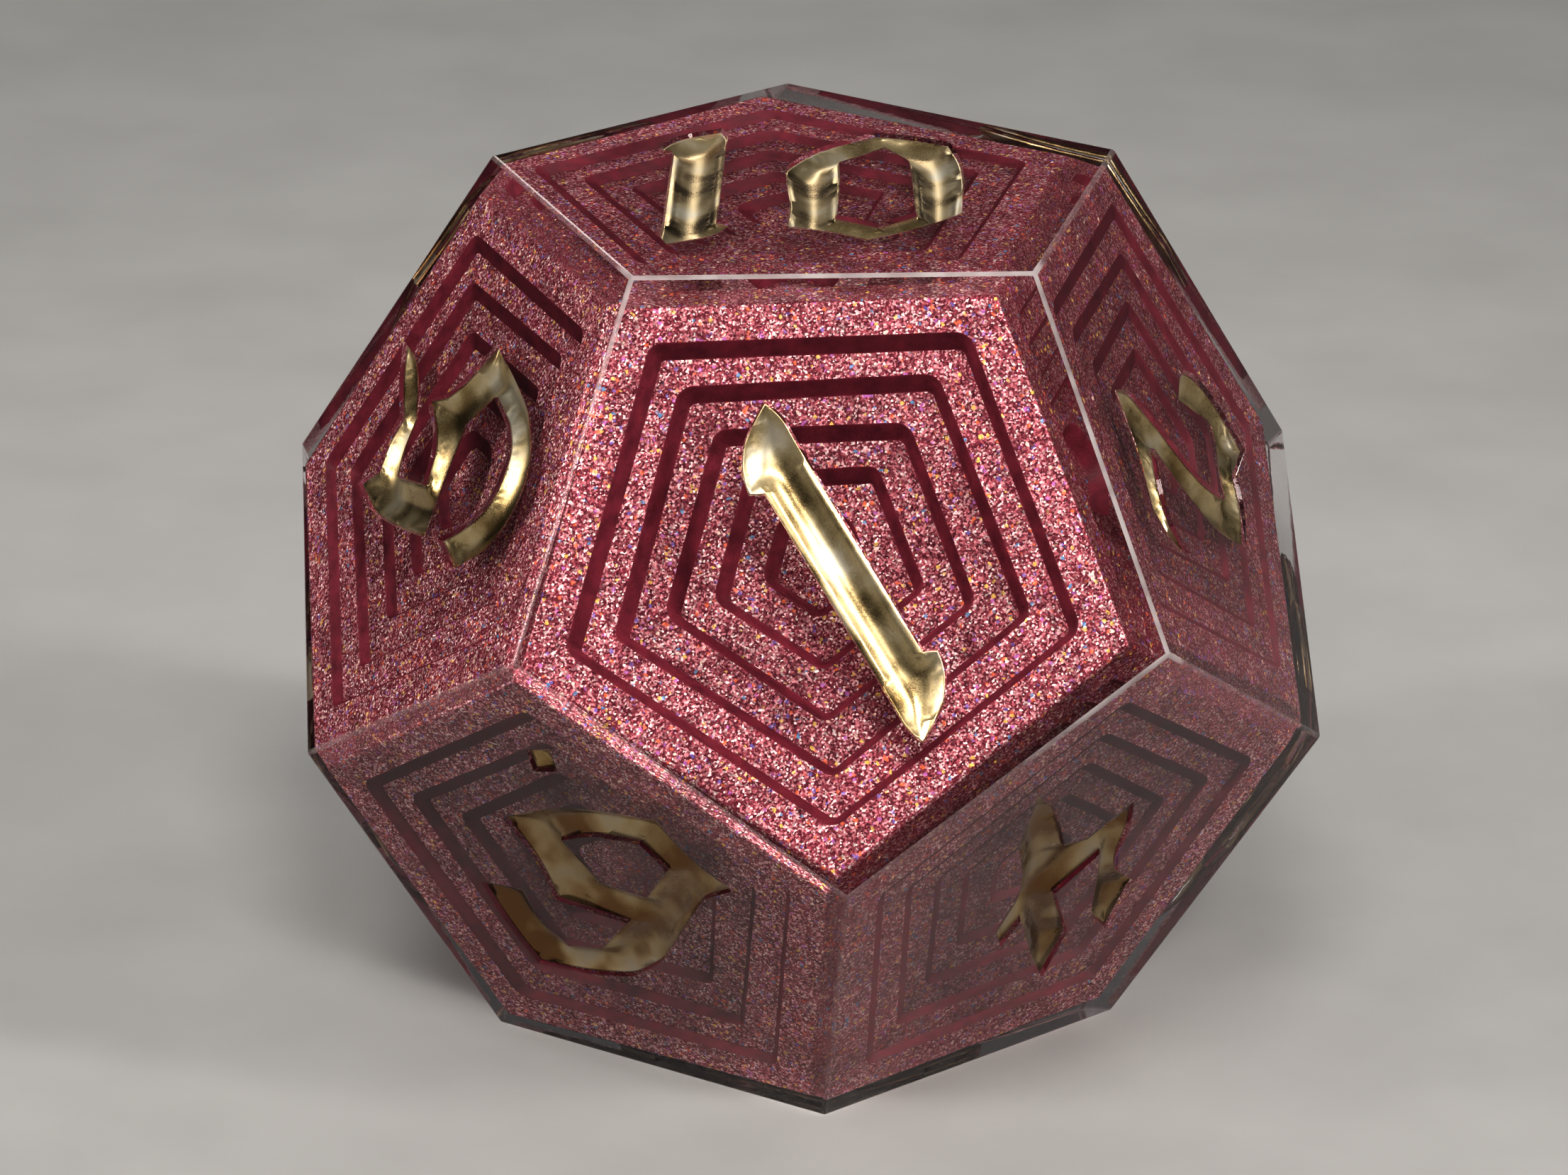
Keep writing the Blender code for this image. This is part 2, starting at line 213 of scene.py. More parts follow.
def inside_loops(points, loops):
    """True for the points that an even-odd count of crossings puts inside the loops."""
    inside = np.zeros(len(points), bool)
    x, y = points[:, 0], points[:, 1]
    for loop in loops:
        for (x1, y1), (x2, y2) in zip(loop, loop[1:] + loop[:1]):
            if y1 != y2:
                crosses = (y1 > y) != (y2 > y)
                inside ^= crosses & (x < x1 + (y - y1) * (x2 - x1) / (y2 - y1))
    return inside


def offset_loop(loop, distance):
    """A loop moved to its right-hand side, which is outwards on a counter-clockwise one."""
    moved = []
    for before, here, after in zip(loop[-1:] + loop[:-1], loop, loop[1:] + loop[:1]):
        a = (Vector(here) - Vector(before)).normalized()
        b = (Vector(after) - Vector(here)).normalized()
        normal_a, normal_b = Vector((a.y, -a.x)), Vector((b.y, -b.x))
        mitre = (normal_a + normal_b) / max(MITRE_LIMIT, 1 + normal_a.dot(normal_b))
        moved.append(tuple(Vector(here) + mitre * distance))
    return moved


def round_bends(loop):
    """Cuts the gentle corners of a loop over and over, and leaves the sharp ones."""
    sharp = [False] * len(loop)
    for i in range(len(loop)):
        a = Vector(loop[i]) - Vector(loop[i - 1])
        b = Vector(loop[(i + 1) % len(loop)]) - Vector(loop[i])
        sharp[i] = abs(a.angle_signed(b)) > SHARP_TURN
    for _ in range(BEND_ROUNDS):
        points, flags = [], []
        for i, here in enumerate(loop):
            if sharp[i]:
                points.append(here)
                flags.append(True)
                continue
            here = Vector(here)
            for other in (Vector(loop[i - 1]), Vector(loop[(i + 1) % len(loop)])):
                span = other - here
                cut = min(CUT_SHARE * span.length, ROUND_CUT)
                points.append(tuple(here + span.normalized() * cut))
                flags.append(False)
        loop, sharp = points, flags
    return loop


def merge_close(loop, distance):
    """Drops the points of a loop that follow another too closely."""
    kept = []
    for point in loop:
        if not kept or (Vector(point) - Vector(kept[-1])).length > distance:
            kept.append(point)
    if (Vector(kept[0]) - Vector(kept[-1])).length <= distance:
        kept.pop()
    return kept


def new_piece(name, mesh, materials):
    piece = bpy.data.objects.new(name, mesh)
    bpy.context.scene.collection.objects.link(piece)
    for mat in materials:
        mesh.materials.append(mat)
    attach(piece, "root")
    return piece


# ---------------------------------------------------------------- the numerals' outlines

def paint_outline(node, place):
    """The edge of a numeral's paint as loops in its face's plane, in millimetres, read from
    the flat top of its CAD solid. Outer loops run counter-clockwise and holes clockwise."""
    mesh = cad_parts[node].data
    inverse = place.inverted()
    points = [inverse @ vert.co / MM for vert in mesh.vertices]
    top = max(point.z for point in points)
    key = [(round(point.x, 4), round(point.y, 4)) for point in points]
    follows = {}
    edges = set()
    for polygon in mesh.polygons:
        if all(points[i].z > top - TOP_TOLERANCE for i in polygon.vertices):
            corners = [key[i] for i in polygon.vertices]
            edges |= set(zip(corners, corners[1:] + corners[:1]))
    for a, b in edges:
        if (b, a) not in edges:
            follows[a] = b
    loops = []
    while follows:
        start = min(follows)
        loop = [start]
        step = follows.pop(start)
        while step != start:
            loop.append(step)
            step = follows.pop(step)
        loops.append(round_bends(loop))
    return loops


def numerals_by_face():
    """Every paint node, with its outline, under the face it is engraved in."""
    found = {face: [] for face in FACES}
    places = {face: face_matrix(*face, CENTRE, INRADIUS) for face in FACES}
    for node in sorted(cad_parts):
        if node.startswith("numeral_"):
            low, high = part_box(node)
            out = ((low + high) / 2 - CENTRE).normalized()
            face = max(FACES, key=lambda f: out.dot(places[f].col[2].to_3d()))
            found[face].append((node, paint_outline(node, places[face])))
    return found


# ---------------------------------------------------------------- casting and paint

def trough(distance):
    """How deep the paint's surface lies, by distance from the paint's edge."""
    share = np.clip(distance / TROUGH_RUN, 0, 1)
    rounded = np.sin(share * math.pi / 2)
    return PAINT_EDGE_DEPTH + PAINT_SAG * (TROUGH_SLOPE * share + (1 - TROUGH_SLOPE) * rounded)


def groove_points(loops):
    """Points that fill a numeral's paint: rings along its edge and an even grid between."""
    xs = [x for loop in loops for x, _ in loop]
    ys = [y for loop in loops for _, y in loop]
    rows = np.arange(min(ys), max(ys), MESH_STEP * ROW_SHARE)
    columns = np.arange(min(xs), max(xs), MESH_STEP)
    grid = [
        (x + (MESH_STEP / 2 if row % 2 else 0), y) for row, y in enumerate(rows) for x in columns
    ]
    grid = np.array(grid)
    clear_of_rings = distance_to_loops(grid, loops) > RING_STEPS[-1] + RING_CLEARANCE
    deep = inside_loops(grid, loops) & clear_of_rings
    points = [tuple(point) for point in grid[deep]]
    for ring in RING_STEPS:
        for loop in loops:
            candidates = np.array(merge_close(offset_loop(loop, -ring), RING_SPACING))
            good = inside_loops(candidates, loops)
            good &= distance_to_loops(candidates, loops) > ring * RING_SHARE
            points += [tuple(point) for point in candidates[good]]
    return points


def smooth_heights(heights, triangles, fixed, rounds):
    """Averages each height with its neighbours', which softens the creases of a trough."""
    pairs = np.vstack([triangles[:, [0, 1]], triangles[:, [1, 2]], triangles[:, [2, 0]]])
    pairs = np.vstack([pairs, pairs[:, ::-1]])
    for _ in range(rounds):
        total = np.zeros(len(heights))
        count = np.zeros(len(heights))
        np.add.at(total, pairs[:, 0], heights[pairs[:, 1]])
        np.add.at(count, pairs[:, 0], 1)
        mean = total / np.maximum(count, 1)
        heights = np.where(fixed, heights, (heights + mean) / 2)
    return heights


def face_sheet(corners, numerals):
    """Triangulates a face of the casting. Gives its points in millimetres, its triangles,
    the depth of the paint at each point, which points lie on the groove's bed, and the number
    of the numeral that each triangle belongs to, or -1."""
    points = [tuple(corner) for corner in corners]
    edges = [(i, (i + 1) % 5) for i in range(5)]
    for _, loops in numerals:
        for loop in loops + [offset_loop(loop, RIM_GAP) for loop in loops]:
            first = len(points)
            points += loop
            edges += [(first + i, first + (i + 1) % len(loop)) for i in range(len(loop))]
        points += groove_points(loops)
    found = geometry.delaunay_2d_cdt([Vector(p) for p in points], edges, [], 0, MESHING_TOLERANCE)
    flat = np.array([tuple(p) for p in found[0]])
    triangles = np.array([tuple(face) for face in found[2]])
    middles = flat[triangles].mean(1)
    depth = np.zeros(len(flat))
    bed = np.zeros(len(flat), bool)
    owner = np.full(len(triangles), -1)
    for number, (_, loops) in enumerate(numerals):
        painted = inside_loops(middles, loops)
        owner[painted] = number
        members = np.unique(triangles[painted])
        distance = distance_to_loops(flat[members], loops)
        on_edge = distance < EDGE_TOLERANCE
        values = np.zeros(len(flat))
        values[members] = np.where(on_edge, PAINT_EDGE_DEPTH, trough(distance))
        fixed = np.ones(len(flat), bool)
        fixed[members[~on_edge]] = False
        values = smooth_heights(values, triangles[painted], fixed, SMOOTHING_ROUNDS)
        depth[members] = values[members]
        bed[members[~on_edge]] = True
    return flat, triangles, depth, bed, owner


def add_triangles(bm, points, triangles, place, smooth):
    verts = {}
    for triangle in triangles:
        for i in triangle:
            if i not in verts:
                verts[i] = bm.verts.new(place @ (Vector(points[i]) * MM))
    for triangle in triangles:
        face = bm.faces.new([verts[i] for i in triangle])
        face.smooth = smooth


def paint_mesh(node, points, triangles, place):
    """A numeral's lining: its hollow surface, the same surface a little deeper, and a wall
    round its edge."""
    below = points - np.array((0, 0, PAINT_THICKNESS))
    both = np.vstack([points, below])
    shift = len(points)
    edges = set()
    for a, b, c in triangles:
        edges |= {(a, b), (b, c), (c, a)}
    wall = []
    for a, b in sorted(edges):
        if (b, a) not in edges:
            wall += [(b, a, a + shift), (b, a + shift, b + shift)]
    bm = bmesh.new()
    add_triangles(bm, both, [tuple(t) for t in triangles], place, True)
    add_triangles(bm, both, [tuple(t[::-1] + shift) for t in triangles], place, True)
    add_triangles(bm, both, wall, place, False)
    bmesh.ops.remove_doubles(bm, verts=bm.verts, dist=MERGE_DISTANCE)
    mesh = bpy.data.meshes.new(node + "_lining")
    bm.to_mesh(mesh)
    bm.free()
    return mesh


def make_casting_and_paint(clear, sanded, gold):
    numerals = numerals_by_face()
    bm = dodecahedron(INRADIUS, CENTRE, CASTING_EDGE * MM)
    for face in bm.faces:
        face.smooth = False
        face.material_index = SANDED
    for direction in FACES:
        place = face_matrix(*direction, CENTRE, INRADIUS)
        corners = take_face(bm, place)
        here = numerals[direction]
        flat, triangles, depth, bed, owner = face_sheet(corners, here)
        surface = np.column_stack([flat, -depth])
        carved = surface - np.column_stack([np.zeros((len(flat), 2)), BED_DEPTH * bed])
        plain = owner < 0
        add_triangles(bm, carved, triangles[plain], place, False)
        add_triangles(bm, carved, triangles[~plain], place, True)
        for number, (node, _) in enumerate(here):
            mesh = paint_mesh(node, surface, triangles[owner == number], place)
            lining = new_piece(node + "_lining", mesh, [gold])
            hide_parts(node)
    bmesh.ops.remove_doubles(bm, verts=bm.verts, dist=MERGE_DISTANCE)
    mesh = bpy.data.meshes.new("clear_casting")
    bm.to_mesh(mesh)
    bm.free()
    casting = new_piece("clear_casting", mesh, [clear, sanded])
    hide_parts("clear_lower_pour", "clear_upper_pour")


# ---------------------------------------------------------------- the core

def rounded_pentagon(inradius, roundings, first_angle):
    """Points of a pentagon with each corner turned on its own radius."""
    points = []
    for corner, rounding in enumerate(roundings):
        middle = math.radians(first_angle + 72 * corner)
        reach = (inradius - rounding) / PENTAGON_APOTHEM
        centre = Vector((math.cos(middle), math.sin(middle))) * reach
        for step in range(ARC_STEPS + 1):
            angle = middle + math.radians(72 * (step / ARC_STEPS - 0.5))
            points.append(centre + Vector((math.cos(angle), math.sin(angle))) * rounding)
    return points


def pit_rings(chance, first_angle):
    """The rings of points down a stepped pit, each a list of 3-D points in millimetres with
    the material of the band that ends at it."""
    rim = FACE_RADIUS_SHARE * CORE_INRADIUS / MM * PENTAGON_APOTHEM
    rings = []
    for step in range(1, PIT_STEPS + 1):
        middle = rim * (1 - step / (PIT_STEPS + 1)) + chance.uniform(-STEP_WANDER, STEP_WANDER)
        top = (1 - step) * PIT_STEP_DEPTH
        foot = -step * PIT_STEP_DEPTH
        softest = SOFTEST_FLOOR_CORNER if step == PIT_STEPS else SOFTEST_CORNER
        roundings = [chance.uniform(SHARPEST_CORNER, softest) for _ in range(5)]
        turn = first_angle + chance.uniform(-STEP_TWIST, STEP_TWIST)
        half = PIT_WALL_RUN / 2
        # painted shade: from this step inwards the treads use the darker glitter
        tread = TREAD if step < FIRST_SHADED_STEP else SHADED_INNER_TREAD
        profile = [
            (middle + half + STEP_ROUNDING, top, tread, -0.5),
            (middle + half, top - STEP_ROUNDING, WALL, -0.5),
            (middle - half, foot + STEP_ROUNDING, WALL, 0.5),
            (middle - half - STEP_ROUNDING, foot, WALL, 0.5),
        ]
        for inradius, height, paint, skew in profile:
            extra = inradius - middle + half + CORNER_GROWTH
            outline = rounded_pentagon(inradius, [r + extra for r in roundings], turn)
            # the skew widens the dark walls at the top and left: painted shade
            moved = [p + SHADED_WALL_SKEW * skew for p in outline]
            rings.append(([(p.x, p.y, height) for p in moved], paint))
    return rings


def make_core(materials):
    chance = random.Random(SEED)
    bm = dodecahedron(CORE_INRADIUS, CORE_CENTRE, CORE_EDGE * MM)
    for face in bm.faces:
        face.smooth = True
    for azimuth, elevation in FACES:
        place = face_matrix(azimuth, elevation, CORE_CENTRE, CORE_INRADIUS)
        corners = take_face(bm, place)
        first_angle = -90 if elevation == RING_TILT else 90
        rings = pit_rings(chance, first_angle)
        size = len(rings[0][0])
        flat = corners + [Vector(p[:2]) for p in rings[0][0]]
        edges = [(i, (i + 1) % 5) for i in range(5)]
        edges += [(5 + i, 5 + (i + 1) % size) for i in range(size)]
        found = geometry.delaunay_2d_cdt(flat, edges, [], 0, MESHING_TOLERANCE)
        points = np.array([(p.x, p.y, 0.0) for p in found[0]])
        triangles = np.array([tuple(face) for face in found[2]])
        rim = [(p[0], p[1]) for p in rings[0][0]]
        outside = ~inside_loops(points[triangles].mean(1)[:, :2], [rim])
        add_triangles(bm, points, triangles[outside], place, False)
        previous = None
        for points, paint in rings:
            verts = [bm.verts.new(place @ (Vector(p) * MM)) for p in points]
            if previous:
                for i in range(size):
                    j = (i + 1) % size
                    face = bm.faces.new((previous[i], previous[j], verts[j], verts[i]))
                    face.material_index = paint
                    face.smooth = paint == WALL
            previous = verts
        bm.faces.new(previous).material_index = PIT_FLOOR
    bmesh.ops.remove_doubles(bm, verts=bm.verts, dist=MERGE_DISTANCE)
    bmesh.ops.recalc_face_normals(bm, faces=bm.faces)
    turned = Matrix.Rotation(math.radians(CORE_TURN), 3, FACE_1_LOOKS)
    bmesh.ops.rotate(bm, verts=bm.verts, cent=CORE_CENTRE, matrix=turned)
    mesh = bpy.data.meshes.new("glitter_core_cast")
    bm.to_mesh(mesh)
    bm.free()
    core = new_piece("glitter_core_cast", mesh, materials)
    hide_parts("glitter_core")


# ---------------------------------------------------------------- materials

class Nodes:
    """A short way to write a material's nodes."""

    def __init__(self, name):
        self.mat = bpy.data.materials.new(name)
        self.mat.use_nodes = True
        self.tree = self.mat.node_tree
        self.shader = self.tree.nodes["Principled BSDF"]
        self.output = self.tree.nodes["Material Output"]
        self.place = self.add("ShaderNodeTexCoord").outputs["Object"]

    def add(self, kind, **settings):
        node = self.tree.nodes.new(kind)
        for key, value in settings.items():
            setattr(node, key, value)
        return node

    def link(self, source, target):
        self.tree.links.new(source, target)

    def noise(self, size_mm, detail=2.0, roughness=0.5):
        node = self.add("ShaderNodeTexNoise")
        node.inputs["Scale"].default_value = 1 / (size_mm * MM)
        node.inputs["Detail"].default_value = detail
        node.inputs["Roughness"].default_value = roughness
        self.link(self.place, node.inputs["Vector"])
        return node

    def cells(self, size_mm):
        node = self.add("ShaderNodeTexVoronoi")
        node.inputs["Scale"].default_value = 1 / (size_mm * MM)
        self.link(self.place, node.inputs["Vector"])
        return node

    def split(self, colour):
        node = self.add("ShaderNodeSeparateColor")
        self.link(colour, node.inputs["Color"])
        return node.outputs

    def ramp(self, value, stops, interpolation="LINEAR"):
        node = self.add("ShaderNodeValToRGB")
        node.color_ramp.interpolation = interpolation
        elements = node.color_ramp.elements
        while len(elements) < len(stops):
            elements.new(0.5)
        for element, (position, colour) in zip(elements, stops):
            element.position = position
            element.color = (*colour, 1)
        self.link(value, node.inputs["Fac"])
        return node.outputs["Color"]

    def range(self, value, low, high, to_low, to_high):
        node = self.add("ShaderNodeMapRange")
        limits = {"From Min": low, "From Max": high, "To Min": to_low, "To Max": to_high}
        for name, number in limits.items():
            node.inputs[name].default_value = number
        self.link(value, node.inputs["Value"])
        return node.outputs["Result"]

    def mix(self, share, a, b):
        node = self.add("ShaderNodeMix", data_type="RGBA")
        for socket, value in ((node.inputs[0], share), (node.inputs[6], a), (node.inputs[7], b)):
            if isinstance(value, tuple):
                socket.default_value = (*value, 1)
            else:
                self.link(value, socket)
        return node.outputs[2]

    def maths(self, operation, a, b):
        node = self.add("ShaderNodeMath", operation=operation)
        self.link(a, node.inputs[0])
        self.link(b, node.inputs[1])
        return node.outputs[0]

    def along(self, direction, low, high):
        """Rises from 0 to 1 as a point goes out from the die's centre in a direction, between
        two distances given as shares of the inradius."""
        offset = self.add("ShaderNodeVectorMath", operation="SUBTRACT")
        self.link(self.place, offset.inputs[0])
        offset.inputs[1].default_value = CENTRE
        dot = self.add("ShaderNodeVectorMath", operation="DOT_PRODUCT")
        self.link(offset.outputs[0], dot.inputs[0])
        dot.inputs[1].default_value = direction
        return self.range(dot.outputs["Value"], low * INRADIUS, high * INRADIUS, 0.0, 1.0)

    def tilt(self, colour, amount):
        """A surface normal knocked off by a random amount in each cell."""
        off = self.add("ShaderNodeVectorMath", operation="SUBTRACT")
        self.link(colour, off.inputs[0])
        off.inputs[1].default_value = (0.5, 0.5, 0.5)
        scaled = self.add("ShaderNodeVectorMath", operation="SCALE")
        self.link(off.outputs[0], scaled.inputs[0])
        scaled.inputs["Scale"].default_value = amount
        normal = self.add("ShaderNodeNewGeometry").outputs["Normal"]
        total = self.add("ShaderNodeVectorMath", operation="ADD")
        self.link(normal, total.inputs[0])
        self.link(scaled.outputs[0], total.inputs[1])
        unit = self.add("ShaderNodeVectorMath", operation="NORMALIZE")
        self.link(total.outputs[0], unit.inputs[0])
        return unit.outputs[0]

    def bump(self, height, distance_mm):
        node = self.add("ShaderNodeBump")
        node.inputs["Distance"].default_value = distance_mm * MM
        node.inputs["Strength"].default_value = 1.0
        self.link(height, node.inputs["Height"])
        return node.outputs["Normal"]

    def let_lamps_through(self):
        """Shadow rays pass straight through, so that lamps reach what the resin encloses."""
        path = self.add("ShaderNodeLightPath")
        clear = self.add("ShaderNodeBsdfTransparent")
        mixed = self.add("ShaderNodeMixShader")
        self.link(path.outputs["Is Shadow Ray"], mixed.inputs[0])
        self.link(self.shader.outputs[0], mixed.inputs[1])
        self.link(clear.outputs[0], mixed.inputs[2])
        self.link(mixed.outputs[0], self.output.inputs["Surface"])


def clear_resin():
    m = Nodes("clear_resin")
    m.shader.inputs["Base Color"].default_value = (1.0, 0.975, 0.975, 1)
    m.shader.inputs["Transmission Weight"].default_value = 1.0
    m.shader.inputs["IOR"].default_value = 1.5
    m.shader.inputs["Specular Tint"].default_value = (0.45, 0.4, 0.4, 1)
    haze = m.noise(1.6, 3.0)
    m.link(m.range(haze.outputs[0], 0.4, 0.8, 0.0, 0.03), m.shader.inputs["Roughness"])
    polish = m.noise(0.5, 2.0)
    m.link(m.bump(polish.outputs[0], 0.003), m.shader.inputs["Normal"])
    m.let_lamps_through()
    return m.mat


def sanded_resin():
    """The casting's edges: nearly clear, but whiter round the upper right of face 1, partly from
    frosting and partly as a painted highlight of the light catching the sanded edges.
    """
    m = Nodes("sanded_resin_edge")
    wear = m.noise(0.9, 3.0, 0.6)
    face_1 = m.along(FACE_1_LOOKS, 0.92, 0.98)
    upper_right = m.along(Vector((0.6, 0, 0.8)), 0.25, 0.6)
    # painted highlight, with some real frosting: the edges round the upper right of face 1 are
    # whiter, where the light catches them
    frost_and_highlight = m.range(m.maths("MULTIPLY", face_1, upper_right), 0.0, 1.0, 0.06, 0.6)
    patchy_frost_and_highlight = m.maths("MULTIPLY", frost_and_highlight, m.range(wear.outputs[0], 0.3, 0.6, 0.5, 1.0))
    colour = m.ramp(wear.outputs[0], [(0.35, (0.05, 0.038, 0.034)), (0.7, (0.11, 0.09, 0.08))])
    m.link(m.mix(frost_and_highlight, (1.0, 0.95, 0.95), colour), m.shader.inputs["Base Color"])
    m.link(m.range(patchy_frost_and_highlight, 0.0, 1.0, 1.0, 0.0), m.shader.inputs["Transmission Weight"])
    m.shader.inputs["IOR"].default_value = 1.5
    m.shader.inputs["Specular IOR Level"].default_value = 0.2
    m.shader.inputs["Specular Tint"].default_value = (0.35, 0.3, 0.3, 1)
    m.link(m.range(patchy_frost_and_highlight, 0.0, 0.6, 0.08, 0.6), m.shader.inputs["Roughness"])
    m.let_lamps_through()
    return m.mat


def glitter(name, flake_size, brightness):
    """Flakes of mica in several tones, each tilted its own way, with a few of another hue."""
    m = Nodes(name)
    fine = m.cells(flake_size)
    coarse = m.cells(TINTED_FLAKE)
    tone = m.split(fine.outputs["Color"])
    hue = m.split(coarse.outputs["Color"])
    flakes = m.ramp(
        tone[0],
        [
            (0.0, (0.06, 0.006, 0.013)),
            (0.36, (0.15, 0.02, 0.033)),
            (0.52, (0.31, 0.065, 0.085)),
            (0.80, (0.55, 0.215, 0.24)),
            (0.93, (0.81, 0.52, 0.53)),
            (1.0, (0.95, 0.83, 0.78)),
        ],
    )
    tints = m.ramp(
        hue[1],
        [
            (0.0, (0.85, 0.55, 0.12)),
            (0.22, (0.80, 0.16, 0.06)),
            (0.45, (0.16, 0.12, 0.42)),
            (0.62, (0.45, 0.14, 0.45)),
            (0.80, (0.08, 0.28, 0.50)),
            (0.88, (0.90, 0.66, 0.55)),
        ],
        "CONSTANT",
    )
    rare = m.range(hue[0], 0.93, 0.94, 0.0, 0.7)
    colour = m.mix(rare, flakes, tints)
    cloud = m.noise(0.7, 3.0, 0.6)
    # brightness scales the whole colour; the inner treads' 0.8 is painted shade
    shade = m.range(cloud.outputs[0], 0.35, 0.62, 0.68 * brightness, 1.05 * brightness)
    darker = m.add("ShaderNodeVectorMath", operation="SCALE")
    m.link(colour, darker.inputs[0])
    m.link(shade, darker.inputs["Scale"])
    m.link(darker.outputs[0], m.shader.inputs["Base Color"])
    m.link(m.range(tone[0], 0.36, 0.52, 0.3, 0.95), m.shader.inputs["Metallic"])
    m.shader.inputs["Specular IOR Level"].default_value = 0.1  # the resin round it hides its shine
    m.link(m.range(tone[1], 0.0, 1.0, 0.3, 0.48), m.shader.inputs["Roughness"])
    m.link(m.tilt(fine.outputs["Color"], 0.3), m.shader.inputs["Normal"])
    return m.mat


def burgundy():
    m = Nodes("burgundy_step_wall")
    streak = m.noise(0.5, 3.0, 0.6)
    colour = m.ramp(streak.outputs[0], [(0.3, (0.05, 0.005, 0.01)), (0.7, (0.115, 0.011, 0.021))])
    m.link(colour, m.shader.inputs["Base Color"])
    m.link(m.range(streak.outputs[0], 0.3, 0.7, 0.4, 0.6), m.shader.inputs["Roughness"])
    m.shader.inputs["Specular IOR Level"].default_value = 0.1
    m.link(m.bump(m.noise(0.06).outputs[0], 0.01), m.shader.inputs["Normal"])
    return m.mat


def gold_paint():
    m = Nodes("champagne_gold_paint")
    patches = m.noise(1.3, 2.0)
    grain = m.noise(0.035, 2.0, 0.6)
    blend = m.maths("ADD", patches.outputs[0], m.range(grain.outputs[0], 0.3, 0.7, -0.05, 0.05))
    colour = m.ramp(
        blend,
        [
            (0.34, (0.28, 0.18, 0.07)),
            (0.45, (0.43, 0.315, 0.15)),
            (0.56, (0.57, 0.45, 0.245)),
            (0.70, (0.56, 0.51, 0.40)),
        ],
    )
    low_on_die = m.along(Vector((0, 0, -1)), 0.0, 0.25)  # painted shade: the lower numerals are mixed towards dark brown, for the little light they reflect
    lower_painted_shade = m.maths("MULTIPLY", low_on_die, m.range(patches.outputs[0], 0.4, 0.6, 0.95, 0.5))
    m.link(m.mix(lower_painted_shade, colour, (0.14, 0.07, 0.03)), m.shader.inputs["Base Color"])
    m.shader.inputs["Metallic"].default_value = 1.0
    m.link(m.range(blend, 0.35, 0.68, 0.2, 0.44), m.shader.inputs["Roughness"])
    wavy = m.maths("ADD", m.range(grain.outputs[0], 0, 1, 0, 0.08), m.noise(0.9, 2.0).outputs[0])
    m.link(m.bump(wavy, 0.015), m.shader.inputs["Normal"])
    return m.mat


def pale_floor():
    m = Nodes("pale_floor")
    mottle = m.noise(6.0, 4.0)
    greys = [(0.3, (0.25, 0.248, 0.243)), (0.7, (0.28, 0.278, 0.273))]
    m.link(m.ramp(mottle.outputs[0], greys), m.shader.inputs["Base Color"])
    m.shader.inputs["Roughness"].default_value = 0.85
    return m.mat


# ---------------------------------------------------------------- floor, light and camera

def make_floor():
    bm = bmesh.new()
    bmesh.ops.create_grid(bm, x_segments=8, y_segments=8, size=FLOOR_HALF_WIDTH)
    bm.transform(Matrix.Translation((0, 0, LOW.z - FLOOR_GAP)))
    mesh = bpy.data.meshes.new("floor")
    bm.to_mesh(mesh)
    bm.free()
    mesh.materials.append(pale_floor())
    floor = bpy.data.objects.new("floor", mesh)
    bpy.context.scene.collection.objects.link(floor)


def soft_box(name, azimuth, elevation, size, watts, colour):
    """A lamp that faces the die from a direction given like the faces', with its width and
    height in metres."""
    lamp = bpy.data.lights.new(name, "AREA")
    lamp.shape = "RECTANGLE"
    lamp.size, lamp.size_y = size
    lamp.energy = watts
    lamp.color = colour
    lamp.spread = math.radians(LAMP_SPREAD)
    holder = bpy.data.objects.new(name, lamp)
    holder.matrix_world = face_matrix(azimuth, elevation, CENTRE, LAMP_DISTANCE)
    holder.visible_transmission = False
    bpy.context.scene.collection.objects.link(holder)


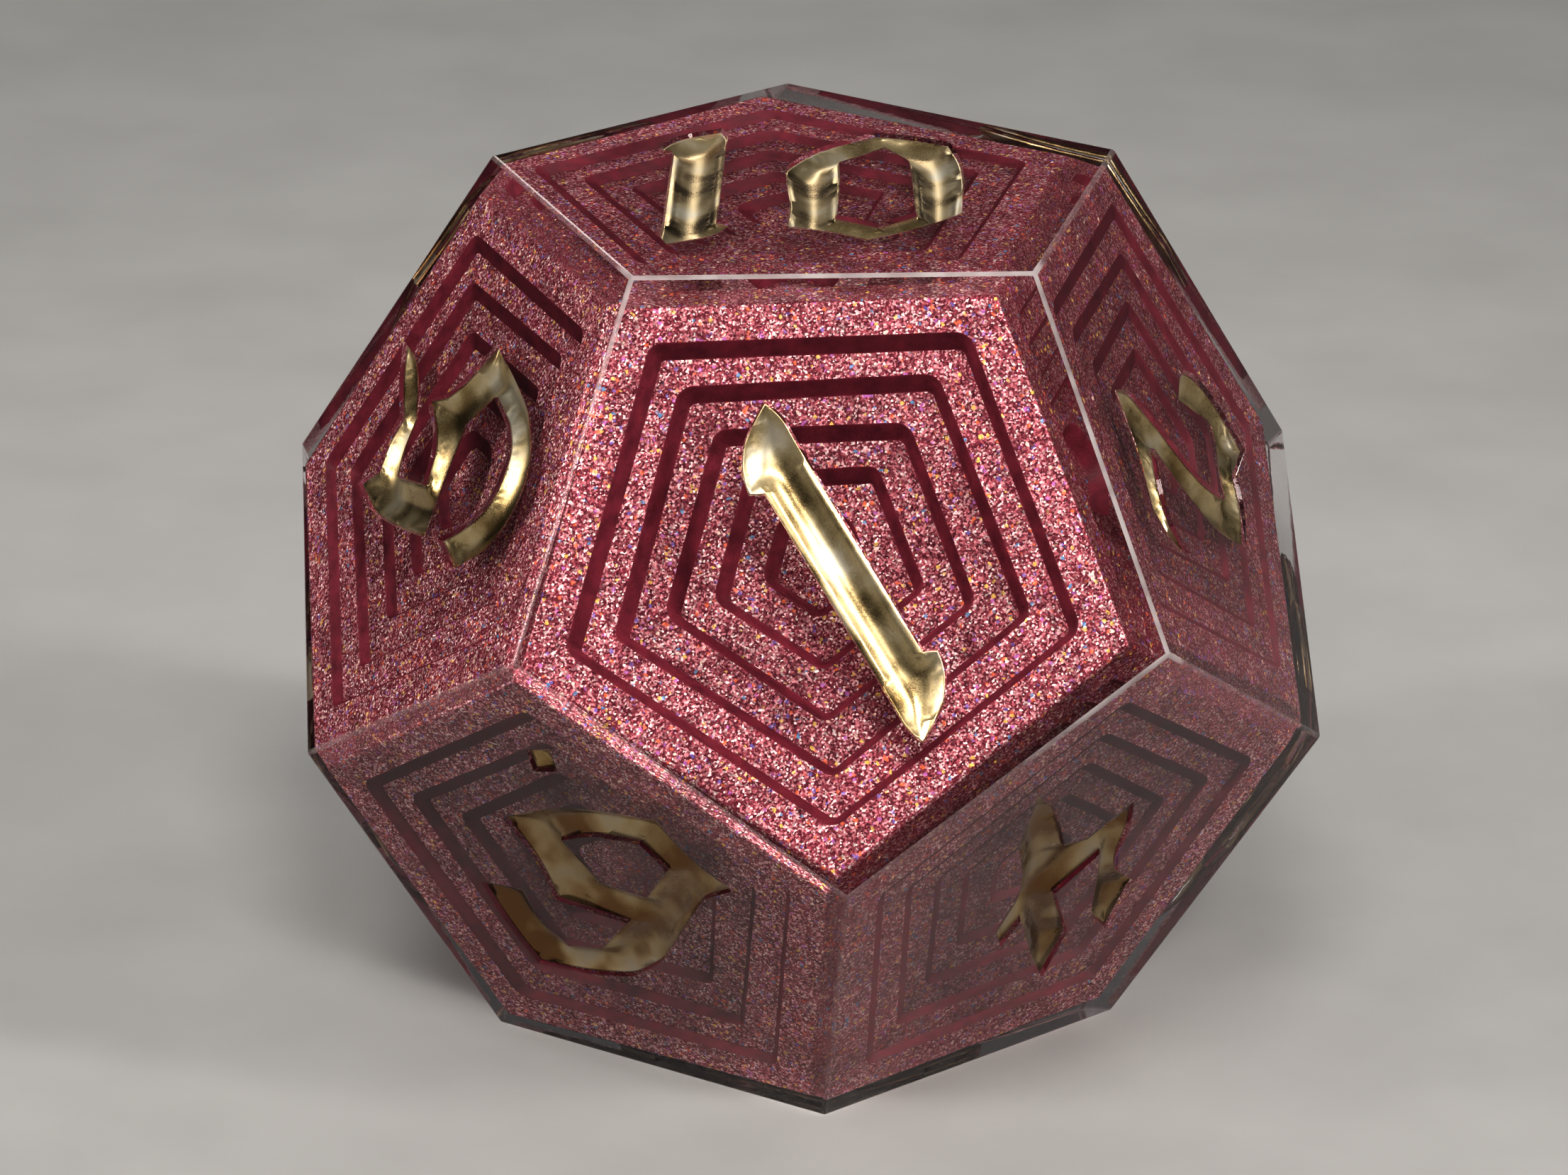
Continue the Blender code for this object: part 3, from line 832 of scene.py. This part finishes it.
def make_lights():
    soft_box("key_softbox", -26, 60, (0.12, 0.12), 0.056, WARM)
    soft_box("sparkle_softbox", 8, 49, (0.10, 0.10), 0.055, WARM)
    soft_box("left_softbox", -75, 25, (0.05, 0.25), 0.052, WARMER)
    soft_box("right_softbox", 62, 30, (0.04, 0.22), 0.070, WARMER)
    soft_box("back_softbox", 176, 29, (0.24, 0.035), 0.014, WARM)
    world = bpy.data.worlds.new("studio")
    world.use_nodes = True
    tree = world.node_tree
    background = tree.nodes["Background"]
    direction = tree.nodes.new("ShaderNodeSeparateXYZ")
    sky = tree.nodes.new("ShaderNodeValToRGB")
    for element, (height, level) in zip(sky.color_ramp.elements, SKY_LEVELS):
        element.position = height
        element.color = (0.95 * level, 0.97 * level, level, 1)
    tree.links.new(tree.nodes.new("ShaderNodeTexCoord").outputs["Generated"], direction.inputs[0])
    tree.links.new(direction.outputs["Z"], sky.inputs["Fac"])
    tree.links.new(sky.outputs["Color"], background.inputs["Color"])
    background.inputs["Strength"].default_value = SKY_STRENGTH
    scene = bpy.context.scene
    scene.world = world
    scene.view_settings.view_transform = "Standard"
    scene.view_settings.gamma = CONTRAST


def make_camera():
    a, e, r = (math.radians(angle) for angle in (VIEW_AZIMUTH, VIEW_ELEVATION, VIEW_ROLL))
    back = Vector((math.sin(a) * math.cos(e), -math.cos(a) * math.cos(e), math.sin(e)))
    level = Vector((math.cos(a), math.sin(a), 0))
    upright = back.cross(level)
    right = math.cos(r) * level + math.sin(r) * upright
    up = math.cos(r) * upright - math.sin(r) * level
    place = CENTRE + back * VIEW_DISTANCE + right * VIEW_RIGHT + up * VIEW_UP
    data = bpy.data.cameras.new("camera")
    data.sensor_width = SENSOR
    data.lens = LENS
    data.clip_start = 10 * MM
    camera = bpy.data.objects.new("camera", data)
    camera.matrix_world = Matrix.Translation(place) @ Matrix((right, up, back)).transposed().to_4x4()
    bpy.context.scene.collection.objects.link(camera)
    bpy.context.scene.camera = camera


make_camera()
make_lights()
make_floor()
make_core([
    glitter("mica_and_glitter", FLAKE, 1.0),
    burgundy(),
    # painted shade: a darker copy of the glitter for the inner treads, deep in the pit
    glitter("mica_and_glitter_inner_painted_shade", FLAKE, 0.8),
    glitter("mica_pit_floor", FLOOR_FLAKE, 0.95),
])
make_casting_and_paint(clear_resin(), sanded_resin(), gold_paint())
